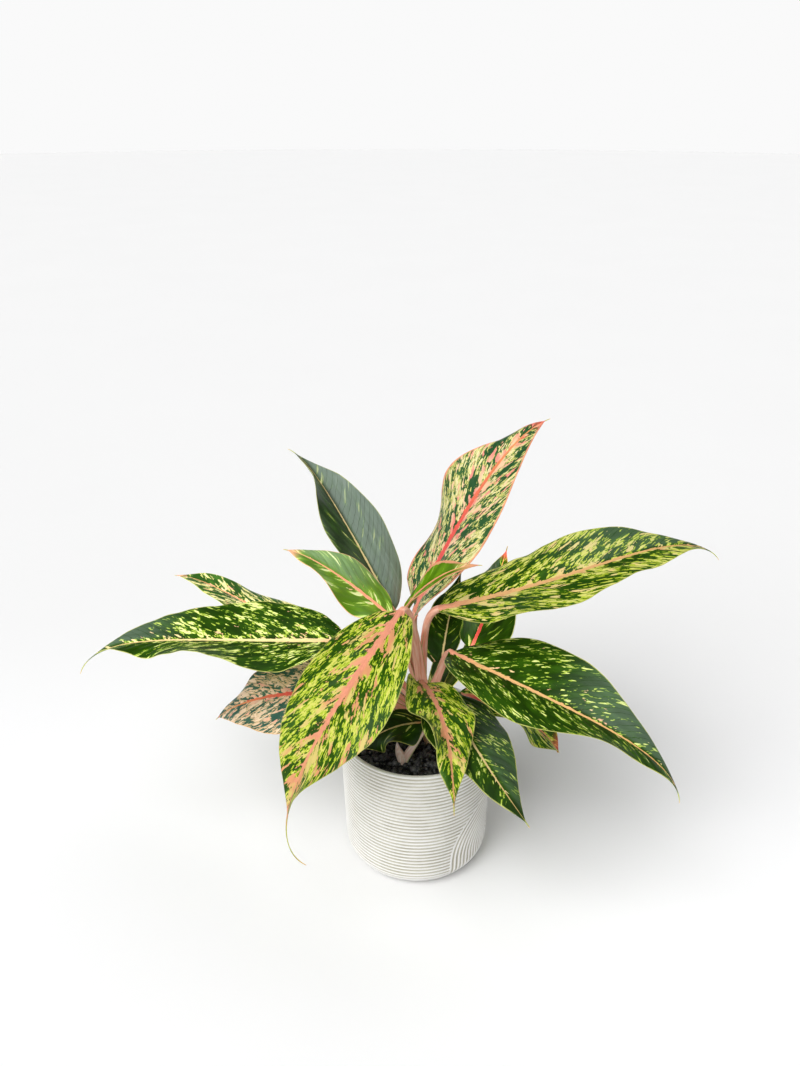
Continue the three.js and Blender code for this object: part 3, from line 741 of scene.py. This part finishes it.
def blade_left(leaf, s):
    """The vector to the left of the midrib, at right angles to it."""
    a = np.radians(leaf["blade"]["azimuth"] + leaf["blade"]["turn"] * s)
    level = np.stack([-np.sin(a), np.cos(a), 0 * a], -1)
    up = np.cross(blade_direction(leaf["blade"], s), level)
    roll = np.radians(leaf["roll"][0] + leaf["roll"][1] * s)[:, None]
    return level * np.cos(roll) + up * np.sin(roll)


def stalk_direction(leaf, u):
    stalk = leaf["stalk"]
    rise = stalk["rise"][0] + (stalk["rise"][1] - stalk["rise"][0]) * u
    bend_from = stalk.get("bend", STALK_BEND)
    bend = smooth((u - bend_from) / (1 - bend_from))[:, None]
    straight = direction(stalk["azimuth"] + 0 * u, rise)
    return unit(straight * (1 - bend) + blade_direction(leaf["blade"], np.zeros(1)) * bend)


def leaf_foot(leaf, offset):
    if "foot" in leaf:
        return np.array(leaf["foot"])
    foot = cane_axis(leaf["foot_z"])
    if leaf["foot_z"] > CANE_TOP[2]:
        return foot
    return foot + offset * direction(leaf["stalk"]["azimuth"], 0.0)


def stalk_path(leaf, u):
    """The middle of the drawn stalk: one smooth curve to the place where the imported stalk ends."""
    stalk = leaf["stalk"]
    middle = (u[1:] + u[:-1]) / 2
    step = stalk["length"] / STALK_STEPS
    end = leaf_foot(leaf, STALK_OFFSET) + stalk_direction(leaf, middle).sum(0) * step
    foot = leaf_foot(leaf, stalk.get("offset", DRAWN_OFFSET))
    reach = np.linalg.norm(end - foot)
    leave = unit(end - foot + np.array([0, 0, stalk.get("leave", LEAVE_UP) * reach])) * reach
    arrive = blade_direction(leaf["blade"], np.zeros(1))[0] * reach * stalk.get("arrive", ARRIVE)
    foot = foot + np.array(stalk.get("shift", (0, 0, 0)))
    u = u[:, None]
    a, b, c, d = 1 - 3 * u**2 + 2 * u**3, u - 2 * u**2 + u**3, 3 * u**2 - 2 * u**3, u**3 - u**2
    bow = 16 * u**2 * (1 - u) ** 2 * np.array(stalk.get("bow", (0, 0, 0)))
    return a * foot + b * leave + c * end + d * arrive + bow


def leaf_sections(leaf):
    """Cross-sections from the stalk's foot to the tip: place s, centre, frame, half width and rib radius."""
    blade = leaf["blade"]
    u = np.linspace(0, 1, STALK_STEPS + 1)
    s = np.linspace(0, 1, BLADE_STEPS + 1)
    stalk = stalk_path(leaf, u)
    steps = blade_direction(blade, (s[1:] + s[:-1]) / 2) * blade["length"] / BLADE_STEPS
    centre = np.concatenate([stalk, stalk[-1] + np.cumsum(steps, 0)])

    s = s[1:]
    along = unit(np.gradient(centre, axis=0))
    left = np.concatenate([np.repeat(blade_left(leaf, np.zeros(1)), len(u), 0), blade_left(leaf, s)])
    left = unit(left - along * (left * along).sum(-1, keepdims=True))

    widest = BASE_POWER / (BASE_POWER + leaf["taper"])
    k = np.minimum(s / (1 - leaf["tail"]), 1)
    outline = (k / widest) ** BASE_POWER * ((1 - k) / (1 - widest)) ** leaf["taper"]
    tip = TIP_HALF_WIDTH * (1 - 0.6 * s**8)
    slim = leaf["stalk"].get("slim", 1)
    slim = slim + (1 - slim) * smooth((u - 0.7) / 0.3)
    radius = (STALK_RADIUS + (STALK_TOP_RADIUS - STALK_RADIUS) * u) * slim
    wing = WING * leaf["stalk"].get("wing", 1) * slim * (1 - smooth(u / WING_TO))
    skirt = leaf["stalk"].get("skirt", 0)
    wing = wing + skirt * smooth((u - SKIRT_FROM) / (SKIRT_FULL - SKIRT_FROM))
    blade_width = blade["half_width"] * outline + tip + TAIL_HALF_WIDTH * (1 - s)
    blade_width = blade_width + skirt * (1 - smooth(s / SKIRT_TO))
    return {
        "s": np.concatenate([u - 1, s]),
        "centre": centre,
        "left": left,
        "up": np.cross(along, left),
        "width": np.concatenate([radius + wing, blade_width]),
        "rib": np.concatenate([radius, RIB_EDGE + (STALK_TOP_RADIUS - RIB_EDGE) * (1 - s) ** RIB_FADE]),
        "outline": np.concatenate([0 * u, outline]),
        "run": np.concatenate([(u - 1) * leaf["stalk"]["length"], s * blade["length"]]),
    }


def column_distances(width, rib):
    """Distances from the midrib of the mesh's columns on one side, dense over the rib and at the margin."""
    inner_edge = np.minimum(1.15 * rib + 0.3 * MM, 0.75 * width)[:, None]
    round_share = np.sin(np.linspace(0, np.pi / 2, RIB_COLUMNS + 1))
    rim = np.minimum(0.4 * MM, 0.12 * width)[:, None]
    side_share = np.linspace(0, 1, SIDE_COLUMNS + 1)[1:]
    inner = inner_edge * round_share
    outer = inner_edge + (width[:, None] - rim - inner_edge) * side_share
    return np.concatenate([inner, outer, width[:, None]], 1)


def margin_wave(leaf, sections, sign):
    height, count, phase = leaf["left"] if sign > 0 else leaf["right"]
    wave = height * np.sin(TURN * (count * sections["s"] + phase))
    return wave * np.minimum(1, sections["outline"] / WAVE_FADE)


def vein_start(run, across, width):
    """Where the side vein through a point leaves the midrib, as a distance along it."""
    return run - across * (VEIN_LEAN[0] + VEIN_LEAN[1] * across / width)


def leaf_side(leaf, sections, sign, seed):
    """Middle surface of one half of the leaf, with its coordinates for the finish."""
    s, run = sections["s"][:, None], sections["run"][:, None]
    width, rib = sections["width"][:, None], sections["rib"][:, None]
    blade_here = s > 0
    across = column_distances(sections["width"], sections["rib"])
    t = across / width
    full = np.minimum(1, sections["outline"][:, None] / WAVE_FADE)
    inset = wave_noise(SEED + 3 * seed + sign, run / SCALLOP_LENGTH * TURN / 2) - 1
    inset = inset * SCALLOP / 2 * t**4 * full
    fold = np.radians(leaf["fold"]) * smooth(s / FOLD_FADE)
    crease = np.hypot(across, FOLD_ROUND) - FOLD_ROUND
    wave = margin_wave(leaf, sections, sign)[:, None]
    ripple = wave_noise(seed, run / RIPPLE_LENGTH * TURN / 2, 0 * run + sign) * RIPPLE * t**4 * full
    wing = WING_LIFT * t**4 * (1 - smooth((s + 1) / WING_TO))
    on_blade = crease * np.sin(fold) + (wave - CROSS_CURL * width) * t * t + ripple
    lift = np.where(blade_here, on_blade, wing)
    start = vein_start(run, across, width)
    cell = start / VEIN_PITCH + 0.5 * sign
    offset = cell - np.floor(cell) - 0.5
    inside = smooth(across / VEIN_FADE[0]) * smooth((width - across) / VEIN_FADE[1]) * blade_here
    groove = np.exp(-((offset * VEIN_PITCH / VEIN_HALF_WIDTH) ** 2))
    quilt = QUILT * leaf.get("quilt", 1)
    lift = lift + inside * (quilt * 0.5 * (1 - np.cos(TURN * offset)) - VEIN_DEPTH * groove)
    broad = leaf["blade"].get("broad", (1, 1))[0 if sign > 0 else 1]
    spread = 1 + (broad - 1) * smooth(s / BROAD_FADE)
    points = (
        sections["centre"][:, None]
        + sign * ((across * spread + inset) * np.cos(fold))[..., None] * sections["left"][:, None]
        + lift[..., None] * sections["up"][:, None]
    )
    vein = np.stack([across * 1.25 / MM, start / MM, 0 * across + 10 * seed + 3 * sign], -1)
    spot = np.stack([s + 0 * across, across / MM, (width - across) / MM], -1)
    part = np.stack([0 * across, 0 * across + sign, 0 * across], -1)
    profile = np.sqrt(np.clip(1 - (across / rib) ** 2, 0, 1))
    return points, vein, spot, part, profile, t


def make_leaf(leaf, seed):
    sections = leaf_sections(leaf)
    sides = [leaf_side(leaf, sections, sign, seed) for sign in (1, -1)]
    both = [np.concatenate([a[:, ::-1], b[:, 1:]], 1) for a, b in zip(*sides)]
    middle, vein, spot, part, profile, t = both
    along = np.gradient(middle, axis=0)
    leftward = -np.gradient(middle, axis=1)
    normal = unit(np.cross(along, leftward))
    s = sections["s"][:, None]
    rib = sections["rib"][:, None]
    edge = np.where(s > 0, BLADE_EDGE, RIB_EDGE)
    edge = edge + (RIM_EDGE - edge) * smooth((np.abs(t) - 0.96) / 0.04)
    end = 1 - 0.5 * smooth((s - 0.97) / 0.03)
    bulge = (rib - RIB_EDGE) * profile
    channel = 1 - 0.4 * np.exp(-((t / 0.45) ** 2)) * (s <= 0)
    ridge = np.where(s > 0, 1 - 0.82 * smooth(s / 0.07), channel)
    upper = middle + normal * ((edge + bulge * ridge) * end)[..., None]
    lower = middle - normal * ((edge + bulge) * end)[..., None]
    points = np.concatenate([upper.reshape(-1, 3), lower.reshape(-1, 3)])
    upper_part = part.copy()
    upper_part[..., 0] = 1
    attributes = {
        "Vein": np.concatenate([vein, vein]),
        "Blade": np.concatenate([spot, spot]),
        "Part": np.concatenate([upper_part, part]),
    }
    faces = skin_faces(*middle.shape[:2])
    piece = make_object(leaf["name"] + "_grown", points, faces, leaf_material(leaf), attributes)
    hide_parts(leaf["name"])


# ---- pot


def pot_radius(z):
    return RIM_RADIUS - POT_TAPER * (POT_HEIGHT - z)


def groove_share(azimuth, drop):
    """0 on top of a rib and 1 in a groove, at a drop along the outside below the rim."""
    level = drop / RIB_PITCH
    beside = np.radians(azimuth - ARC_AZIMUTH) * RIM_RADIUS
    reach = np.hypot(beside, np.minimum(drop - ARC_DROP, 0))
    arched = reach < ARC_RADIUS
    arc = (ARC_RADIUS - reach) / ARC_PITCH - ARC_PHASE
    phase = np.where(arched, arc, level)
    share = smooth((0.5 - 0.5 * np.cos(TURN * phase) - GROOVE_SIDE[0]) / GROOVE_SIDE[1])
    outside = POT_HEIGHT - POT_LIP - BASE_ROUND + BASE_ROUND * TURN / 4
    return share * (1 - smooth((drop - outside + POT_PLAIN * RIB_PITCH) / RIB_PITCH))


def pot_azimuths():
    half = np.degrees((ARC_RADIUS + RIB_PITCH) / RIM_RADIUS)
    fine = int(np.radians(2 * half) * RIM_RADIUS / ARC_COLUMN)
    coarse = int(np.radians(360 - 2 * half) * RIM_RADIUS / PLAIN_COLUMN)
    first = np.linspace(-half, half, fine, endpoint=False)
    second = np.linspace(half, 360 - half, coarse, endpoint=False)
    return ARC_AZIMUTH + np.concatenate([first, second])


def make_pot():
    azimuth = pot_azimuths()
    straight = POT_HEIGHT - POT_LIP - BASE_ROUND
    outside = straight + BASE_ROUND * TURN / 4
    drop = np.linspace(0, outside, int(outside / RIB_PITCH * RIB_ROWS))
    share = groove_share(azimuth[None], drop[:, None])
    depth = RIB_DEPTH * share
    turn = np.clip((drop - straight) / BASE_ROUND, 0, TURN / 4)[:, None]
    z = (POT_HEIGHT - POT_LIP - np.minimum(drop, straight))[:, None]
    bottom_centre = pot_radius(BASE_ROUND) - BASE_ROUND
    in_round = (drop > straight)[:, None]
    reach = BASE_ROUND - depth
    radius = np.where(in_round, bottom_centre + reach * np.cos(turn), pot_radius(z) - depth)
    height = np.where(in_round, BASE_ROUND - reach * np.sin(turn), z + 0 * depth)

    def ring(r, h):
        return np.full((1, len(azimuth)), r), np.full((1, len(azimuth)), h)

    def inner(h):
        return pot_radius(h) - POT_WALL

    rim = [
        (pot_radius(POT_HEIGHT) - POT_LIP * (1 - np.cos(a)), POT_HEIGHT - POT_LIP * (1 - np.sin(a)))
        for a in np.linspace(0.2, TURN / 4, 5)
    ]
    rim += [
        (inner(POT_HEIGHT) + POT_LIP * (1 - np.sin(a)), POT_HEIGHT - POT_LIP * (1 - np.cos(a)))
        for a in np.linspace(0, TURN / 4, 5)
    ]
    cup = [
        (inner(POT_FLOOR) - INNER_ROUND * (1 - np.cos(a)), POT_FLOOR + INNER_ROUND * (1 - np.sin(a)))
        for a in np.linspace(0, TURN / 4, 6)
    ]
    wall = [(inner(h), h) for h in np.linspace(POT_HEIGHT - 2 * POT_LIP, POT_FLOOR + INNER_ROUND, 8)]
    inside = rim + wall + cup[1:] + [(MM, POT_FLOOR)]
    under = [(bottom_centre * share_out, 0) for share_out in (0.02, 0.5, 0.92)]
    rings = [ring(*p) for p in reversed(inside)] + [(radius, height)] + [ring(*p) for p in reversed(under)]
    radius = np.concatenate([r for r, _ in rings])
    height = np.concatenate([h for _, h in rings])
    groove = np.zeros(radius.shape)
    groove[len(inside) : len(inside) + len(drop)] = share
    a = np.radians(azimuth)[None]
    points = np.stack([radius * np.cos(a), radius * np.sin(a), height], -1)
    marks = {"Groove": np.stack([groove, 0 * groove, 0 * groove], -1)}
    piece = make_object("pot_glazed", points, tube_faces(*radius.shape), pot_material(), marks)
    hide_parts("pot")


def pot_material():
    shader = Shader("pot_glaze")
    groove = shader.split(shader.attribute("Groove"))[0]
    place = shader.place()
    glaze = shader.mix(shader.step(shader.noise(place, 30, 3.0), 0.3, 0.7), rgb("e7e6e2"), rgb("ebeae8"))
    # the grooves are painted a darker beige: painted shade in the hollows between the ribs
    groove_shade = shader.mix(shader.step(shader.noise(place, 60, 3.0), 0.35, 0.65), rgb("b0ab9a"), rgb("c1bdae"))
    colour = shader.mix(shader.step(groove, 0.15, 0.9), glaze, groove_shade)
    speck = shader.step(shader.noise(place, 900, 1.0), 0.74, 0.78)
    colour = shader.mix(shader.times(speck, 0.25), colour, rgb("a89f86"))
    shader.bump(shader.noise(place, 700, 3.0), 0.25, 0.1 * MM)
    return shader.finish(colour, shader.add_scaled(groove, 0.25, 0.38))


# ---- soil


def soil_height(x, y):
    return SOIL_LEVEL + SOIL_RELIEF * wave_noise(SEED, x / MM * SOIL_WAVES, y / MM * SOIL_WAVES)


def soil_material():
    shader = Shader("soil_grains")
    place = shader.place()
    grain = shader.noise(place, 420, 3.0, 0.65)
    damp = shader.noise(place, 45, 2.0)
    colour = shader.mix(shader.step(grain, 0.35, 0.7), rgb("060607"), rgb("1c1b1c"))
    brown = shader.mix(shader.step(grain, 0.4, 0.7), rgb("1c1411"), rgb("3a2a22"))
    colour = shader.mix(shader.times(shader.step(damp, 0.6, 0.72), 0.6), colour, brown)
    shade = shader.split(shader.attribute("Grain"))[0]
    colour = shader.mix(shader.times(shader.step(shade, 0.3, 1), 0.75), colour, rgb("5e5d60"))
    shader.bump(shader.noise(place, 900, 3.0, 0.6), 0.5, 0.25 * MM)
    return shader.finish(colour, shader.add_scaled(grain, 0.25, 0.24))


def make_soil(material):
    """The body of the soil, closed, with a bumpy top."""
    outer = pot_radius(SOIL_LEVEL) - POT_WALL - SOIL_GAP
    low = POT_FLOOR + SOIL_GAP
    bottom = pot_radius(low) - POT_WALL - SOIL_GAP
    azimuth = np.linspace(0, TURN, SOIL_COLUMNS, endpoint=False)
    top = np.linspace(0.02, 1, SOIL_ROWS) * outer
    radii = np.concatenate([top, [bottom, bottom - INNER_ROUND, MM]])
    x, y = radii[:, None] * np.cos(azimuth), radii[:, None] * np.sin(azimuth)
    z = soil_height(x, y)
    z[SOIL_ROWS - 1] = SOIL_LEVEL
    z[SOIL_ROWS:] = np.array([low + INNER_ROUND, low, low])[:, None]
    points = np.stack([x, y, z], -1)
    grain = {"Grain": np.zeros(points.shape)}
    piece = make_object("soil_bed", points, tube_faces(*x.shape), material, grain)
    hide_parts("soil")


def pebble_shape():
    shape = bmesh.new()
    bmesh.ops.create_icosphere(shape, subdivisions=2, radius=1)
    points = np.array([v.co for v in shape.verts])
    faces = np.array([[v.index for v in face.verts] for face in shape.faces])
    shape.free()
    return points, faces


def make_granules(material):
    """Loose grains over the soil, lumps of many sizes, each its own small closed body."""
    random = np.random.default_rng(SEED)
    ball, ball_faces = pebble_shape()
    limit = pot_radius(SOIL_LEVEL) - POT_WALL - GRANULE_RADIUS[1]
    stems = [(cane_axis(SOIL_LEVEL)[:2], CANE_RADII[0]), (np.array(SHOOT_FOOT[:2]), SHOOT_RADIUS)]
    points, faces = [], []
    while len(points) < GRANULES:
        far = limit * np.sqrt(random.uniform())
        turn = random.uniform(0, TURN)
        size = random.uniform(*GRANULE_RADIUS)
        x, y = far * np.cos(turn), far * np.sin(turn)
        if any(np.hypot(x - foot[0], y - foot[1]) < radius for foot, radius in stems):
            continue
        axes = random.uniform(*GRANULE_AXES, 3)
        turned = np.linalg.qr(random.normal(size=(3, 3)))[0]
        lumps = 1 + GRANULE_LUMPS * wave_noise(int(random.integers(1 << 30)), *(2.6 * ball.T))
        centre = np.array([x, y, soil_height(x, y) + random.uniform(*GRANULE_RISE) * MM])
        faces.append(ball_faces + len(points) * len(ball))
        points.append((ball * lumps[:, None] * axes * size) @ turned + centre)
    shades = {"Grain": np.repeat(random.uniform(size=(GRANULES, 1)), len(ball), 0) * [[1, 0, 0]]}
    faces = np.concatenate(faces).tolist()
    piece = make_object("soil_granules", np.array(points), faces, material, shades, crease=180)
    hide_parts("soil")


# ---- cane and sheath


def loft(name, centres, radii, material):
    """A closed round body along centres, with a radius at each."""
    along = unit(np.gradient(centres, axis=0))
    side = unit(np.cross(along, [0, 1, 0.0]))
    front = np.cross(side, along)
    turn = np.linspace(0, TURN, STEM_COLUMNS, endpoint=False)
    points = (
        centres[:, None]
        + (radii[:, None] * np.cos(turn))[..., None] * side[:, None]
        + (radii[:, None] * np.sin(turn))[..., None] * front[:, None]
    )
    return make_object(name, points, tube_faces(len(centres), STEM_COLUMNS), material)


def streaked_skin(name, scale, deep, pale, rough, depth):
    """A shader with fine upright streaks, its place and height, and its colour and roughness so far."""
    shader = Shader(name)
    place = shader.place()
    x, y, z = shader.split(place)
    streaks = shader.noise(shader.join(x, y, shader.times(z, 0.12)), scale, 3.0)
    shader.bump(streaks, 0.3, depth)
    colour = shader.mix(shader.step(streaks, 0.35, 0.65), rgb(deep), rgb(pale))
    return shader, place, z, colour, shader.add_scaled(streaks, 0.2, rough)


def stem_material():
    shader, place, z, colour, rough = streaked_skin("stem_skin", 700, "dba489", "eecdb4", 0.35, 0.2 * MM)
    green = shader.noise(place, 60, 2.0)
    colour = shader.mix(shader.times(shader.step(green, 0.5, 0.66), 0.5), colour, rgb("a9ad6a"))
    scar = shader.step(shader.math("FRACT", shader.times(z, 1 / SCAR_PITCH)), 0.9, 0.97)
    colour = shader.mix(shader.times(scar, 0.6), colour, rgb("8a6a4c"))
    return shader.finish(colour, rough)


def make_cane():
    z = np.linspace(SOIL_LEVEL - CANE_BURIED, CANE_TOP[2], CANE_ROWS)
    share = (z - z[0]) / (z[-1] - z[0])
    radius = CANE_RADII[0] + (CANE_RADII[1] - CANE_RADII[0]) * share
    scars = 0.5 + 0.5 * np.cos(TURN * (z / SCAR_PITCH - SCAR_PHASE))
    radius = radius - SCAR_SWELL * (1 - scars**6)
    piece = loft("cane_ringed", cane_axis(z), radius, stem_material())
    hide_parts("cane")


def sheath_material():
    shader, _, _, colour, rough = streaked_skin("sheath_skin", 900, "e6c3b4", "f4e2d8", 0.3, 0.15 * MM)
    return shader.finish(colour, rough)


def make_sheath():
    """The pale sheath that the shoot grows out of: a stub in the soil and one free tip."""
    foot = np.array(SHOOT_FOOT)
    tip = np.array(SHEATH_TIP)
    stub = np.linspace([foot[0], foot[1], SOIL_LEVEL - SHOOT_BURIED], foot, 12)
    share = np.linspace(0, 1, 24)[1:, None]
    arm = foot + (tip - foot) * share + np.array(SHEATH_BOW) * np.sin(share * np.pi)
    centres = np.concatenate([stub, arm])
    tapered = SHOOT_RADIUS * (1 - share[:, 0] ** SHEATH_TAPER) + SHEATH_EDGE
    radii = np.concatenate([np.full(len(stub), SHOOT_RADIUS - SHEATH_EDGE / 2), tapered])
    piece = loft("shoot_sheath", centres, radii, sheath_material())
    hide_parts("shoot")


# ---- floor, light and camera


def make_floor():
    corners = [
        (x * FLOOR_HALF, y * FLOOR_HALF, -FLOOR_DROP) for x, y in ((-1, -1), (1, -1), (1, 1), (-1, 1))
    ]
    shader = Shader("pale_floor")
    place = shader.place()
    far = shader.step(shader.split(place)[1], *FLOOR_FADE)
    shade = shader.mix(far, rgb("f4f4f5"), rgb("ececec"))
    shade = shader.tint(shade, shader.add_scaled(shader.noise(place, 3.0, 2.0), 0.02, 0.99))
    shader.surface.inputs["Specular IOR Level"].default_value = 0.1
    mesh = bpy.data.meshes.new("floor")
    mesh.from_pydata(corners, [], [(0, 1, 2, 3)])
    mesh.materials.append(shader.finish(shade, 0.9))
    floor = add_object("floor", mesh)


def make_backdrop():
    """A pale dome far behind everything, seen by the camera only: it casts and stops no light."""
    shape = bmesh.new()
    bmesh.ops.create_uvsphere(shape, u_segments=96, v_segments=48, radius=BACKDROP_RADIUS)
    mesh = bpy.data.meshes.new("backdrop")
    shape.to_mesh(mesh)
    shape.free()
    mesh.shade_smooth()
    shader = Shader("pale_backdrop")
    glow = shader.add("Emission", {"Color": (1, 1, 1, 1), "Strength": HORIZON_LIGHT})
    shader.links.new(glow.outputs[0], shader.nodes["Material Output"].inputs["Surface"])
    mesh.materials.append(shader.owner)
    dome = add_object("backdrop", mesh)
    for ray in ("diffuse", "glossy", "transmission", "volume_scatter", "shadow"):
        setattr(dome, "visible_" + ray, False)


def make_lamp(name, azimuth, rise, spread, strength):
    """A far and large lamp that shines on the pot: spread is its angular size."""
    lamp = bpy.data.lights.new(name, "SUN")
    lamp.angle = np.radians(spread)
    lamp.energy = strength
    place = Vector(direction(azimuth, float(rise)).tolist())
    turned = (-place).to_track_quat("-Z", "Y").to_matrix().to_4x4()
    add_object(name, lamp).matrix_world = Matrix.Translation(place) @ turned


def make_world():
    """A white studio: bright at the level of the horizon, softer above."""
    shader = Shader("studio", "worlds")
    height = shader.split(shader.add("TexCoord", {}).outputs["Generated"])[2]
    inputs = {0: height, 1: HORIZON_BAND[0], 2: HORIZON_BAND[1], 3: HORIZON_LIGHT, 4: SKY_LIGHT}
    light = shader.add("MapRange", inputs, interpolation_type="SMOOTHSTEP").outputs[0]
    background = shader.nodes["Background"].inputs
    shader.set(background["Color"], (1, 1, 1, 1))
    shader.set(background["Strength"], light)
    bpy.context.scene.world = shader.owner


def make_camera():
    camera = bpy.data.cameras.new("camera")
    camera.sensor_width = SENSOR
    camera.lens = FOCAL_PIXELS / PICTURE_HEIGHT * SENSOR
    holder = add_object("camera", camera)
    holder.location = CAMERA_PLACE
    holder.rotation_euler = (np.radians(90 - CAMERA_PITCH), 0, np.radians(CAMERA_YAW))
    bpy.context.scene.camera = holder


make_pot()
grains = soil_material()
make_soil(grains)
make_granules(grains)
make_cane()
make_sheath()
for number, leaf in enumerate(LEAVES, 1):
    make_leaf(leaf, number)
make_floor()
make_backdrop()
make_world()
for number, softbox in enumerate(SOFTBOXES, 1):
    make_lamp(f"softbox_{number}", *softbox)
make_camera()
bpy.context.scene.view_settings.view_transform = "Standard"
